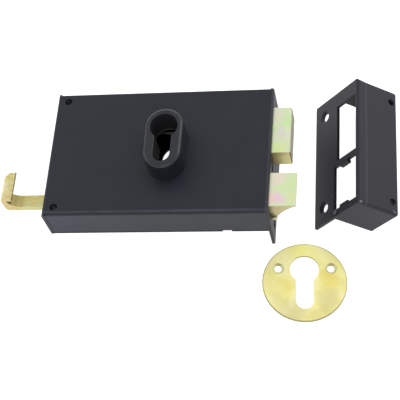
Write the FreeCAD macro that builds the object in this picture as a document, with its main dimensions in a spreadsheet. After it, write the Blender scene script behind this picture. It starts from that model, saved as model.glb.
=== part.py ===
import FreeCAD, Part

# Rim lock for the inner face of a door, with the keeper and the escutcheon that come with it.
# Millimetres, +Z up. The lock and the keeper lie as they rest on a table: each is tilted by the
# screw flange that reaches behind its back, and the escutcheon lies flat beside them.
# Lock pieces are drawn in the lock's own frame: X from the left side towards the bolts, Y up the
# door, Z from the door face to the front. Keeper pieces have X inwards from the face that meets
# the bolts, Y up the frame and Z from the door frame's face to the front.

import math
import os
import re

import Sketcher

doc = FreeCAD.newDocument("rim_lock")
sheet = doc.addObject("Spreadsheet::Sheet", "Sizes")

SIZES = [
    # case, one folded sheet: front, left side, top, bottom and forend
    ("case_width", 140.6),
    ("case_height", 88.3),
    ("case_depth", 25.0),
    ("case_sheet", 2.0),
    ("fold_round", 1.9),
    ("top_fold_round", 1.2),
    ("wall_proud", 0.25),
    ("flange_reach", 17.0),
    ("relief_wide", 0.5),
    ("relief_deep", 0.2),
    ("corner_hole", 4.8),
    ("corner_hole_side", 7.4),
    ("corner_hole_end", 5.7),
    ("flange_hole", 5.5),
    ("flange_hole_end", 9.4),
    ("flange_hole_back", 8.5),
    ("cylinder_screw_hole", 5.2),
    ("cylinder_screw_height", 36.2),
    # back plate
    ("back_sheet", 1.5),
    ("back_clear", 0.15),
    ("notch_place", 110.0),
    ("notch_width", 5.8),
    ("notch_deep", 2.2),
    # profile cylinder hole: a circle with a round-ended slot below it
    ("cylinder_place", 76.4),
    ("cylinder_height", 51.7),
    ("profile_circle", 17.2),
    ("profile_slot", 10.4),
    ("profile_length", 33.2),
    ("profile_clear", 0.6),
    # collar round the cylinder
    ("collar_width", 24.0),
    ("collar_length", 41.7),
    ("collar_reach", 17.5),
    ("collar_round", 2.4),
    ("collar_lip_round", 0.6),
    ("collar_screw", 2.9),
    ("collar_screw_side", 8.6),
    ("collar_screw_drop", 18.2),
    ("collar_screw_deep", 9.0),
    ("collar_screw_head", 5.4),
    ("collar_screw_head_deep", 1.8),
    ("thread_clear", 0.05),
    ("screw_spare", 0.5),
    # both bolts
    ("bolt_thick", 14.5),
    ("bolt_set", 3.5),
    ("bolt_clear", 0.2),
    ("bolt_inside", 22.0),
    ("bolt_edge", 0.5),
    ("tail_sheet", 3.0),
    ("tail_joint", 12.0),
    ("rivet", 4.0),
    ("rivet_head", 6.4),
    ("rivet_head_deep", 1.2),
    ("rivet_inset", 3.4),
    ("post", 6.0),
    ("post_shoulder", 9.0),
    ("running_clear", 0.1),
    ("travel_spare", 0.5),
    # dead bolt
    ("dead_top_inset", 12.5),
    ("dead_height", 32.6),
    ("dead_reach", 11.6),
    ("dead_travel", 11.0),
    ("dead_tail_inset", 13.7),
    ("dead_tail_height", 11.1),
    ("dead_tail_end", 34.6),
    ("dead_post_place", 44.6),
    ("throat_width", 10.6),
    ("throat_deep", 5.3),
    ("detent_inset", 48.0),
    ("detent_wide", 4.0),
    ("detent_deep", 1.8),
    # detent leaf spring
    ("leaf_sheet", 0.7),
    ("leaf_width", 6.0),
    ("leaf_inset", 7.6),
    ("leaf_post_inset", 23.0),
    ("leaf_clear", 0.9),
    ("leaf_tail", 5.0),
    # latch bolt
    ("latch_low", 6.1),
    ("latch_height", 22.7),
    ("latch_reach", 16.5),
    ("latch_travel", 15.5),
    ("latch_tip", 1.0),
    ("latch_square", 3.4),
    ("latch_heel", 3.2),
    ("latch_thick", 18.0),
    ("latch_hollow", 1.6),
    ("latch_tail_low", 9.5),
    ("latch_tail_high", 21.5),
    ("latch_tail_end", 28.6),
    ("latch_post_inset", 44.0),
    ("latch_post_height", 15.5),
    # pull hook
    ("bar_thick", 4.5),
    ("bar_height", 8.1),
    ("bar_low", 10.8),
    ("bar_back", 11.9),
    ("bar_inside", 46.6),
    ("bar_clear", 0.3),
    ("hook_reach", 27.7),
    ("hook_rise", 10.0),
    ("hook_outer_round", 3.2),
    ("hook_inner_round", 7.0),
    ("rise_thick", 3.4),
    ("tab_width", 7.3),
    ("tab_thick", 2.8),
    ("tab_height", 20.2),
    ("tab_round", 5.5),
    ("tab_foot_round", 1.0),
    ("tab_edge", 0.5),
    ("tab_crown", 2.3),
    ("hook_rivet_first", 22.6),
    ("hook_rivet_second", 38.6),
    # latch spring on its guide rod
    ("spring_over", 3.1),
    ("spring_outer", 7.0),
    ("spring_wire", 0.9),
    ("spring_turns", 11),
    ("spring_seat", 0.3),
    ("rod", 4.0),
    ("rod_past", 2.0),
    ("rod_clear", 0.3),
    ("stop_inset", 54.0),
    ("stop_sheet", 2.0),
    ("stop_foot", 6.5),
    ("stop_clear", 0.4),
    ("stop_high", 18.5),
    ("stop_rim", 5.0),
    # latch lever
    ("lever_place", 50.6),
    ("lever_height", 38.0),
    ("lever_sheet", 3.0),
    ("lever_gap", 1.0),
    ("lever_boss", 13.0),
    ("lever_pivot", 7.0),
    ("lever_arm", 14.5),
    ("lever_arm_rise", 25.8),
    ("lever_tip", 6.0),
    ("lever_fork_past", 4.5),
    ("lever_fork_width", 11.0),
    ("stud_spacer", 10.0),
    ("stud_end", 0.7),
    ("lever_washer", 12.0),
    ("lever_washer_sheet", 0.8),
    ("drive_pin", 5.0),
    ("drive_pin_clear", 0.3),
    ("drive_pin_head", 7.5),
    ("drive_pin_spare", 0.5),
    # spacers and posts between the front and the back plate
    ("tube_outer", 6.0),
    ("cover_post", 7.0),
    ("cover_screw", 3.5),
    ("cover_screw_head", 6.4),
    ("cover_screw_deep", 9.5),
    ("cover_screw_slot", 0.9),
    ("post_side", 12.6),
    ("post_side_rise", 33.0),
    ("post_top", 7.5),
    ("post_top_side", 28.6),
    ("post_top_far", 10.0),
    ("post_low_far", 28.0),
    ("post_low_rise", 36.0),
    # keeper, one folded sheet
    ("keeper_width", 31.1),
    ("keeper_height", 89.0),
    ("keeper_depth", 25.9),
    ("keeper_sheet", 2.0),
    ("keeper_round", 1.9),
    ("lip_width", 6.7),
    ("lip_rise", 0.6),
    ("keeper_flange", 18.9),
    ("keeper_front_edge", 2.1),
    ("keeper_dead_low", 38.7),
    ("keeper_dead_height", 39.8),
    ("keeper_dead_deep", 19.6),
    ("keeper_latch_low", 4.6),
    ("keeper_latch_height", 30.3),
    ("keeper_latch_deep", 22.4),
    ("keeper_hole", 5.6),
    ("keeper_sink", 9.2),
    ("keeper_sink_deep", 1.0),
    ("keeper_hole_end", 11.2),
    ("keeper_hole_back", 9.3),
    ("keeper_front_hole", 4.5),
    ("keeper_front_hole_side", 4.7),
    ("keeper_front_hole_end", 8.5),
    ("lug_width", 8.0),
    ("lug_high", 1.7),
    ("lug_deep", 2.8),
    ("lug_in", 5.8),
    # escutcheon
    ("disc", 52.0),
    ("disc_sheet", 1.4),
    ("disc_edge", 0.4),
    ("disc_circle", 17.8),
    ("disc_slot", 10.7),
    ("disc_length", 35.2),
    ("disc_hole", 4.4),
    ("disc_sink", 7.4),
    ("disc_sink_deep", 1.0),
    ("disc_hole_side", 16.2),
    ("disc_hole_rise", 0.5),
    # places on the table
    ("keeper_gap", 25.1),
    ("keeper_up", 11.0),
    ("keeper_turn", 1.0),
    ("disc_across", 20.1),
    ("disc_down", 25.7),
    ("disc_turn", 3.0),
]

# Places that follow other sizes, as formulas of the sheet itself.
FOLLOWING = [
    ("dead_low", "case_height - dead_top_inset - dead_height"),
    ("dead_tail_high", "case_height - dead_tail_inset"),
    ("dead_tail_low", "dead_tail_high - dead_tail_height"),
    ("detent_place", "case_width - detent_inset"),
    ("leaf_height", "case_height - leaf_inset"),
    ("leaf_post_place", "case_width - leaf_post_inset"),
    ("latch_post_place", "case_width - latch_post_inset"),
    ("spring_height", "latch_tail_high + spring_over"),
    ("stop_place", "case_width - stop_inset"),
    ("rod_end", "stop_place - rod_past"),
    ("stop_over", "spring_height + stop_rim"),
]

for row, (alias, value) in enumerate(SIZES + FOLLOWING, start=1):
    sheet.set("A%d" % row, alias)
    sheet.set("B%d" % row, "=%s" % value)
    sheet.setAlias("B%d" % row, alias)
doc.recompute()

NAMES = {alias for alias, value in SIZES + FOLLOWING}

# Radius of the ring that every sketch starts from before its constraints place the corners.
START_RADIUS = 9.0


def size(alias):
    """The sheet's value of one driving dimension."""
    return float(getattr(sheet, alias))


def formula(text):
    """An expression in sheet names, written as the document reads it."""
    def full(found):
        return "Sizes." + found.group() if found.group() in NAMES else found.group()
    return re.sub(r"[a-z][a-z_]+", full, str(text))


def bind(thing, **formulas):
    """Bind properties of one object; two underscores in a name stand for a dot."""
    for name, text in formulas.items():
        thing.setExpression(name.replace("__", "."), formula(text))
    return thing


def place(thing, at):
    """Bind an object's own position to formulas."""
    return bind(thing, Placement__Base__x=at[0], Placement__Base__y=at[1], Placement__Base__z=at[2])


def box(name, at, lengths):
    """A block from its lowest corner and its three lengths."""
    block = doc.addObject("Part::Box", name)
    bind(block, Length=lengths[0], Width=lengths[1], Height=lengths[2])
    return place(block, at)


TURNS = {
    "x": FreeCAD.Rotation(FreeCAD.Vector(0, 1, 0), 90),
    "y": FreeCAD.Rotation(FreeCAD.Vector(1, 0, 0), -90),
    "z": FreeCAD.Rotation(),
}


def rod(name, at, across, length, along="z"):
    """A round bar from the centre of its first end, its diameter and its length along one axis."""
    bar = doc.addObject("Part::Cylinder", name)
    bar.Placement.Rotation = TURNS[along]
    bind(bar, Radius="(%s) / 2" % across, Height=length)
    return place(bar, at)


def cone(name, at, first, last, length, along="z"):
    """A cone from the centre of its first end and the diameters of both ends."""
    bar = doc.addObject("Part::Cone", name)
    bar.Placement.Rotation = TURNS[along]
    bind(bar, Radius1="(%s) / 2" % first, Radius2="(%s) / 2" % last, Height=length)
    return place(bar, at)


def fuse(name, shapes):
    """Several shapes as one."""
    if len(shapes) == 1:
        return shapes[0]
    joined = doc.addObject("Part::MultiFuse", name)
    joined.Shapes = shapes
    joined.Refine = True
    return joined


def cut(name, base, tools):
    """A shape less its tools."""
    less = doc.addObject("Part::Cut", name)
    less.Base = base
    less.Tool = fuse(name + "_tools", tools)
    less.Refine = True
    return less


def group(name, shapes):
    """Alike pieces that share one node."""
    together = doc.addObject("Part::Compound", name)
    together.Links = shapes
    return together


def own_plane(body, role):
    """One of a body's own origin planes."""
    return [f for f in body.Origin.OriginFeatures if f.Role == role][0]


def pad(body, name, plane, corners, offset, length):
    """A closed outline of straight runs, padded. Each corner is a pair of formulas in the plane."""
    outline = body.newObject("Sketcher::SketchObject", name + "_outline")
    outline.AttachmentSupport = [(own_plane(body, plane), "")]
    outline.MapMode = "FlatFace"
    bind(outline, AttachmentOffset__Base__z=offset)
    count = len(corners)
    angles = [2 * math.pi * i / count for i in range(count)]
    ring = [FreeCAD.Vector(START_RADIUS * math.cos(a), START_RADIUS * math.sin(a), 0) for a in angles]
    for i in range(count):
        outline.addGeometry(Part.LineSegment(ring[i], ring[(i + 1) % count]))
    for i in range(count):
        outline.addConstraint(Sketcher.Constraint("Coincident", i, 2, (i + 1) % count, 1))
    for i, (across, up) in enumerate(corners):
        for kind, text in (("DistanceX", across), ("DistanceY", up)):
            index = outline.addConstraint(Sketcher.Constraint(kind, -1, 1, i, 1, 1.0))
            outline.renameConstraint(index, "%s%d" % (kind, i))
            outline.setExpression("Constraints.%s%d" % (kind, i), formula(text))
    solid = body.newObject("PartDesign::Pad", name)
    solid.Profile = outline
    bind(solid, Length=length)
    doc.recompute()
    return solid


def round_corners(body, name, solid, outline_name, numbers, radius):
    """Round the pad's edges that stand on the numbered corners of its outline."""
    outline = doc.getObject(outline_name + "_outline")
    way = outline.Placement.Rotation.multVec(FreeCAD.Vector(0, 0, 1))
    wanted = [outline.Placement.multVec(outline.Geometry[n].StartPoint) for n in numbers]
    edges = []
    for i, edge in enumerate(solid.Shape.Edges, start=1):
        if len(edge.Vertexes) != 2:
            continue
        start = edge.Vertexes[0].Point
        run = edge.Vertexes[1].Point - start
        if run.Length < 1e-6 or abs(abs(run.normalize() * way) - 1) > 1e-6:
            continue
        for corner in wanted:
            off = corner - start
            if (off - way * (off * way)).Length < 1e-4:
                edges.append("Edge%d" % i)
    rounded = body.newObject("PartDesign::Fillet", name)
    rounded.Base = (solid, edges)
    bind(rounded, Radius=radius)
    doc.recompute()
    return rounded


def soften(name, base, radius_of):
    """Round each edge of a shape by the radius that the test gives it, and leave those it gives 0."""
    doc.recompute()
    radii = [(i, radius_of(edge)) for i, edge in enumerate(base.Shape.Edges, start=1)]
    rounded = doc.addObject("Part::Fillet", name)
    rounded.Base = base
    rounded.Edges = [(i, radius, radius) for i, radius in radii if radius]
    return rounded


def on(value, wanted):
    """Whether two lengths agree to a hundredth."""
    return abs(value - wanted) < 0.01


def flat_at(edge, height):
    """Whether an edge lies level at a height."""
    return on(edge.BoundBox.ZMin, height) and on(edge.BoundBox.ZMax, height)


def profile(name, centre, across_and_length, low, deep):
    """The profile cylinder's hole as a solid, from the circle's centre, both widths, length and depth."""
    across, up = centre
    circle, slot, length = across_and_length
    head = rod(name + "_circle", (across, up, low), circle, deep)
    foot_up = "%s + (%s) / 2 - (%s) + (%s) / 2" % (up, circle, length, slot)
    foot = rod(name + "_foot", (across, foot_up, low), slot, deep)
    neck = box(name + "_neck", ("%s - (%s) / 2" % (across, slot), foot_up, low),
               (slot, "(%s) - (%s)" % (up, foot_up), deep))
    return fuse(name, [head, foot, neck])


LOCK = []
KEEPER = []
DISC = []


def keep(family, thing, label):
    """Name a finished piece and list it with the family that it lies with."""
    thing.Label = label
    family.append(thing)
    return thing


BOLT_BACK = "case_depth - bolt_set - bolt_thick"
LATCH_BACK = "case_depth - bolt_set - latch_thick"
TAIL_BACK = "(%s + bolt_thick / 2 - tail_sheet / 2)" % BOLT_BACK
LATCH_TAIL_BACK = "(bar_back - tail_sheet)"
INNER_FRONT = "case_depth - case_sheet"
CYLINDER = ("cylinder_place", "cylinder_height")
PROFILE = ("profile_circle", "profile_slot", "profile_length")
LOOSE_PROFILE = tuple(name + " + 2 * profile_clear" for name in PROFILE)
CORNERS = [("corner_hole_side", "corner_hole_end"), ("corner_hole_side", "case_height - corner_hole_end")]
POSTS = [("post_side", "post_side_rise"), ("post_top_side", "case_height - post_top"),
         ("case_width - post_top_far", "case_height - post_top"),
         ("case_width - post_low_far", "post_low_rise")]


def case_shell():
    """Front and four walls. The side walls stand a little proud of the top and bottom ones.

    A shallow relief across the forend, just behind the back plate, clears the corner of the door.
    """
    front = box("front", ("0", "wall_proud", INNER_FRONT),
                ("case_width", "case_height - 2 * wall_proud", "case_sheet"))
    left = box("left_wall", ("0", "0", "0"), ("case_sheet", "case_height", "case_depth"))
    forend = box("forend", ("case_width - case_sheet", "0", "-flange_reach"),
                 ("case_sheet", "case_height", "case_depth + flange_reach"))
    low = box("bottom_wall", ("0", "wall_proud", "back_sheet"),
              ("case_width", "case_sheet", "case_depth - back_sheet"))
    high = box("top_wall", ("0", "case_height - wall_proud - case_sheet", "back_sheet"),
               ("case_width", "case_sheet", "case_depth - back_sheet"))
    folded = fuse("case_folded", [front, left, forend, low, high])
    deep, wide, tall = size("case_depth"), size("case_width"), size("case_height")
    proud = size("wall_proud")

    def fold(edge):
        """The outer folds round the front."""
        box_ = edge.BoundBox
        at_side = on(box_.XMin, box_.XMax) and (on(box_.XMin, 0) or on(box_.XMin, wide))
        at_end = on(box_.YMin, box_.YMax) and (on(box_.YMin, proud) or on(box_.YMin, tall - proud))
        if not flat_at(edge, deep):
            return 0
        if at_side and box_.YLength > tall / 2:
            return size("fold_round")
        if at_end and box_.XLength > wide / 2:
            return size("top_fold_round" if box_.YMin > tall / 2 else "fold_round")
        return 0
    rounded = soften("case_rounded", folded, fold)
    holes = [rod("corner_bore%d" % i, (x, y, INNER_FRONT), "corner_hole", "case_sheet")
             for i, (x, y) in enumerate(CORNERS)]
    for i, up in enumerate(("flange_hole_end", "case_height - flange_hole_end")):
        holes.append(rod("flange_bore%d" % i, ("case_width - case_sheet", up, "-flange_hole_back"),
                         "flange_hole", "case_sheet", "x"))
    holes.append(rod("cylinder_screw_bore", ("case_width - case_sheet", "cylinder_screw_height",
                                             BOLT_BACK + " + bolt_thick / 2"),
                     "cylinder_screw_hole", "case_sheet", "x"))
    for bolt, back, thick in (("dead", BOLT_BACK, "bolt_thick"), ("latch", LATCH_BACK, "latch_thick")):
        at = ("case_width - case_sheet", bolt + "_low - bolt_clear", back + " - bolt_clear")
        holes.append(box(bolt + "_opening", at,
                         ("case_sheet", bolt + "_height + 2 * bolt_clear", thick + " + 2 * bolt_clear")))
    holes.append(box("bar_opening", ("0", "bar_low - bar_clear", "bar_back - bar_clear"),
                     ("case_sheet", "bar_height + 2 * bar_clear", "bar_thick + 2 * bar_clear")))
    holes.append(box("corner_relief", ("case_width - case_sheet", "0", "-relief_wide"),
                     ("relief_deep", "case_height", "relief_wide")))
    holes.append(profile("case_profile", CYLINDER, LOOSE_PROFILE, INNER_FRONT, "case_sheet"))
    for i, side in enumerate((-1, 1)):
        holes.append(rod("collar_screw_bore%d" % i,
                         ("cylinder_place + %d * collar_screw_side" % side,
                          "cylinder_height - collar_screw_drop", INNER_FRONT),
                         "collar_screw + 4 * thread_clear", "case_sheet"))
    keep(LOCK, cut("case_shell", rounded, holes), "case_shell")


def back_plate():
    """Flat plate against the door. It closes the top and bottom walls and lies between the side walls."""
    inside = "case_width - 2 * case_sheet - 2 * back_clear"
    plate = box("back_blank", ("case_sheet + back_clear", "wall_proud", "0"),
                (inside, "case_height - 2 * wall_proud", "back_sheet"))
    holes = [rod("back_corner_bore%d" % i, (x, y, "0"), "corner_hole", "back_sheet")
             for i, (x, y) in enumerate(CORNERS)]
    holes += [cone("cover_sink%d" % i, (x, y, "0"), "cover_screw_head + 2 * thread_clear",
                   "cover_screw + 2 * thread_clear", "back_sheet") for i, (x, y) in enumerate(POSTS)]
    holes.append(profile("back_profile", CYLINDER, LOOSE_PROFILE, "0", "back_sheet"))
    notch = box("notch", ("notch_place", "wall_proud", "0"), ("notch_width", "notch_deep", "back_sheet"))
    holes.append(notch)
    keep(LOCK, cut("back_plate", plate, holes), "back_plate")


def collar():
    """Oblong collar with a soft rim round the cylinder, held by two screws from inside."""
    ends = "(collar_length - collar_width) / 2"
    middle = "cylinder_height + profile_circle / 2 - profile_length / 2"
    low = rod("collar_low", ("cylinder_place", "%s - %s" % (middle, ends), "case_depth"),
              "collar_width", "collar_reach")
    high = rod("collar_high", ("cylinder_place", "%s + %s" % (middle, ends), "case_depth"),
               "collar_width", "collar_reach")
    left = "cylinder_place - collar_width / 2"
    sides = box("collar_sides", (left, "%s - %s" % (middle, ends), "case_depth"),
                ("collar_width", "2 * " + ends, "collar_reach"))
    blank = fuse("collar_blank", [low, high, sides])
    top = size("case_depth") + size("collar_reach")
    rounded = soften("collar_rounded", blank, lambda e: size("collar_round") if flat_at(e, top) else 0)
    tools = [profile("collar_profile", CYLINDER, PROFILE, "case_depth", "collar_reach")]
    for i, side in enumerate((-1, 1)):
        at = ("cylinder_place + %d * collar_screw_side" % side, "cylinder_height - collar_screw_drop",
              "case_depth")
        tools.append(rod("collar_thread%d" % i, at, "collar_screw + 2 * thread_clear", "collar_screw_deep"))
    opened = cut("collar_opened", rounded, tools)
    reach = size("profile_circle") / 2 + 0.01

    def mouth(edge):
        """The rim of the cylinder's hole."""
        box_ = edge.BoundBox
        off = max(abs(box_.XMin - size("cylinder_place")), abs(box_.XMax - size("cylinder_place")))
        return size("collar_lip_round") if flat_at(edge, top) and off < reach else 0
    keep(LOCK, soften("collar_lip", opened, mouth), "cylinder_collar")
    screws = []
    for i, side in enumerate((-1, 1)):
        at = ("cylinder_place + %d * collar_screw_side" % side, "cylinder_height - collar_screw_drop")
        shank = rod("collar_shank%d" % i, at + (INNER_FRONT,), "collar_screw",
                    "case_sheet + collar_screw_deep - screw_spare")
        head = rod("collar_head%d" % i, at + (INNER_FRONT + " - collar_screw_head_deep",),
                   "collar_screw_head", "collar_screw_head_deep")
        screws.append(fuse("collar_screw%d" % i, [shank, head]))
    keep(LOCK, group("collar_screws", screws), "collar_screws")


def spacers():
    """Tubes behind the corner holes, and the tapped posts and screws that hold the back plate."""
    length = INNER_FRONT + " - back_sheet"
    tubes = [cut("tube%d" % i, rod("tube_outside%d" % i, (x, y, "back_sheet"), "tube_outer", length),
                 [rod("tube_bore%d" % i, (x, y, "back_sheet"), "corner_hole", length)])
             for i, (x, y) in enumerate(CORNERS)]
    keep(LOCK, group("fixing_tubes", tubes), "fixing_tubes")
    posts = [cut("cover_post%d" % i, rod("cover_post_bar%d" % i, (x, y, "back_sheet"), "cover_post", length),
                 [rod("cover_post_thread%d" % i, (x, y, "back_sheet"),
                      "cover_screw + 2 * thread_clear", "cover_screw_deep")])
             for i, (x, y) in enumerate(POSTS)]
    keep(LOCK, group("cover_posts", posts), "cover_posts")
    screws = []
    for i, (x, y) in enumerate(POSTS):
        head = cone("cover_head%d" % i, (x, y, "0"), "cover_screw_head", "cover_screw", "back_sheet")
        shank = rod("cover_shank%d" % i, (x, y, "back_sheet"), "cover_screw",
                    "cover_screw_deep - screw_spare")
        slot = box("cover_slot%d" % i, ("%s - cover_screw_head" % x, "%s - cover_screw_slot / 2" % y, "0"),
                   ("2 * cover_screw_head", "cover_screw_slot", "back_sheet / 2"))
        screws.append(cut("cover_screw%d" % i, fuse("cover_screw_whole%d" % i, [head, shank]), [slot]))
    keep(LOCK, group("cover_screws", screws), "cover_screws")


def guide_post(label, place_x, place_y, seat):
    """A shouldered post from the back plate to the front, whose shoulder carries a tail plate."""
    shoulder = rod(label + "_shoulder", (place_x, place_y, "back_sheet"), "post_shoulder",
                   "%s - running_clear - back_sheet" % seat)
    neck = rod(label + "_neck", (place_x, place_y, "back_sheet"), "post", INNER_FRONT + " - back_sheet")
    keep(LOCK, fuse(label, [shoulder, neck]), label)


def rivets(label, places, low, high, head=None):
    """Rivets through the pieces from low to high, flush or with a round head on the front."""
    made = []
    for i, (x, y) in enumerate(places):
        shank = rod("%s_shank%d" % (label, i), (x, y, low), "rivet", "(%s) - (%s)" % (high, low))
        parts = [shank]
        if head:
            parts.append(rod("%s_head%d" % (label, i), (x, y, high), "rivet_head", "rivet_head_deep"))
        made.append(fuse("%s%d" % (label, i), parts))
    keep(LOCK, group(label, made), label)


def guide_slot(name, at_x, at_y, travel, low):
    """The slot of a tail plate that runs along a post when the bolt is drawn back."""
    across = "post + 2 * running_clear"
    first = rod(name + "_first", (at_x + " - travel_spare", at_y, low), across, "tail_sheet")
    last = rod(name + "_last", (at_x + " + travel_spare + " + travel, at_y, low), across, "tail_sheet")
    run = box(name + "_run", (at_x + " - travel_spare", "%s - post / 2 - running_clear" % at_y, low),
              (travel + " + 2 * travel_spare", across, "tail_sheet"))
    return fuse(name, [first, last, run])


HEAD_BACK = "(case_width - bolt_inside)"
JOINT_END = "(%s + tail_joint)" % HEAD_BACK
RIVET_X = "(%s + tail_joint / 2)" % HEAD_BACK


def dead_bolt():
    """Square head on a tail plate with the cam throat below and two detent notches above."""
    body = doc.addObject("PartDesign::Body", "dead_head_body")
    right = "case_width + dead_reach"
    corners = [(HEAD_BACK, "dead_low"), (right, "dead_low"),
               (right, "dead_low + dead_height"), (HEAD_BACK, "dead_low + dead_height")]
    block = pad(body, "dead_block", "XY_Plane", corners, BOLT_BACK, "bolt_thick")
    tip = size("case_width") + size("dead_reach")
    edges = ["Edge%d" % i for i, e in enumerate(block.Shape.Edges, start=1)
             if on(e.BoundBox.XMin, tip) and on(e.BoundBox.XMax, tip)]
    eased = body.newObject("PartDesign::Chamfer", "dead_eased")
    eased.Base = (block, edges)
    bind(eased, Size="bolt_edge")
    doc.recompute()
    tail_high = "dead_tail_high - dead_tail_low"
    rivet_places = [(RIVET_X, "dead_tail_low + rivet_inset"), (RIVET_X, "dead_tail_high - rivet_inset")]
    tools = [box("dead_joint", (HEAD_BACK, "dead_tail_low", TAIL_BACK),
                 ("tail_joint", tail_high, "tail_sheet"))]
    tools += [rod("dead_rivet_bore%d" % i, (x, y, BOLT_BACK), "rivet", "bolt_thick")
              for i, (x, y) in enumerate(rivet_places)]
    keep(LOCK, cut("dead_head", body, tools), "dead_bolt_head")

    blank = box("dead_tail_blank", ("dead_tail_end", "dead_tail_low", TAIL_BACK),
                (JOINT_END + " - dead_tail_end", tail_high, "tail_sheet"))
    middle = "(dead_tail_low + dead_tail_high) / 2"
    tools = [guide_slot("dead_guide", "dead_post_place", middle, "dead_travel", TAIL_BACK)]
    throat_x = "cylinder_place + dead_travel / 2 - throat_width / 2"
    tools.append(box("cam_throat", (throat_x, "dead_tail_low", TAIL_BACK),
                     ("throat_width", "throat_deep", "tail_sheet")))
    for i in range(2):
        notch = doc.addObject("PartDesign::Body", "detent_notch%d" % i)
        middle_x = "detent_place + %d * dead_travel" % i
        pad(notch, "detent_wedge%d" % i, "XY_Plane",
            [(middle_x + " - detent_wide / 2", "dead_tail_high"), (middle_x, "dead_tail_high - detent_deep"),
             (middle_x + " + detent_wide / 2", "dead_tail_high")], TAIL_BACK, "tail_sheet")
        tools.append(notch)
    tools += [rod("dead_tail_bore%d" % i, (x, y, TAIL_BACK), "rivet", "tail_sheet")
              for i, (x, y) in enumerate(rivet_places)]
    keep(LOCK, cut("dead_tail", blank, tools), "dead_bolt_tail")
    rivets("dead_bolt_rivets", rivet_places, BOLT_BACK, BOLT_BACK + " + bolt_thick")
    guide_post("dead_bolt_guide_post", "dead_post_place", middle, TAIL_BACK)


def detent():
    """Leaf spring gripped in a slotted post, with its tip resting in a notch of the dead bolt's tail."""
    middle = TAIL_BACK + " + tail_sheet / 2"
    post = rod("leaf_post_bar", ("leaf_post_place", "leaf_height + leaf_sheet / 2", "back_sheet"), "post",
               INNER_FRONT + " - back_sheet")
    slot = box("leaf_post_slot", ("leaf_post_place - post", "leaf_height", middle + " - leaf_width / 2"),
               ("2 * post", "leaf_sheet", "leaf_width"))
    keep(LOCK, cut("leaf_post", post, [slot]), "detent_spring_post")
    body = doc.addObject("PartDesign::Body", "leaf_body")
    tip_low = "dead_tail_high - detent_deep + leaf_clear"
    rise = "(leaf_height - (%s))" % tip_low
    corners = [("leaf_post_place + post / 2", "leaf_height"),
               ("leaf_post_place + post / 2", "leaf_height + leaf_sheet"),
               ("detent_place + %s * 0.9" % rise, "leaf_height + leaf_sheet"),
               ("detent_place + leaf_sheet * 0.2", "%s + leaf_sheet" % tip_low),
               ("detent_place - leaf_sheet * 0.2", "%s + leaf_sheet" % tip_low),
               ("detent_place - leaf_tail", "%s + leaf_tail + leaf_sheet" % tip_low),
               ("detent_place - leaf_tail - leaf_sheet", "%s + leaf_tail" % tip_low),
               ("detent_place - leaf_sheet * 0.5", tip_low),
               ("detent_place + leaf_sheet * 0.5", tip_low),
               ("detent_place + %s * 0.9 + leaf_sheet * 0.4" % rise, "leaf_height")]
    pad(body, "leaf", "XY_Plane", corners, middle + " - leaf_width / 2", "leaf_width")
    keep(LOCK, body, "detent_spring")


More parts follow.
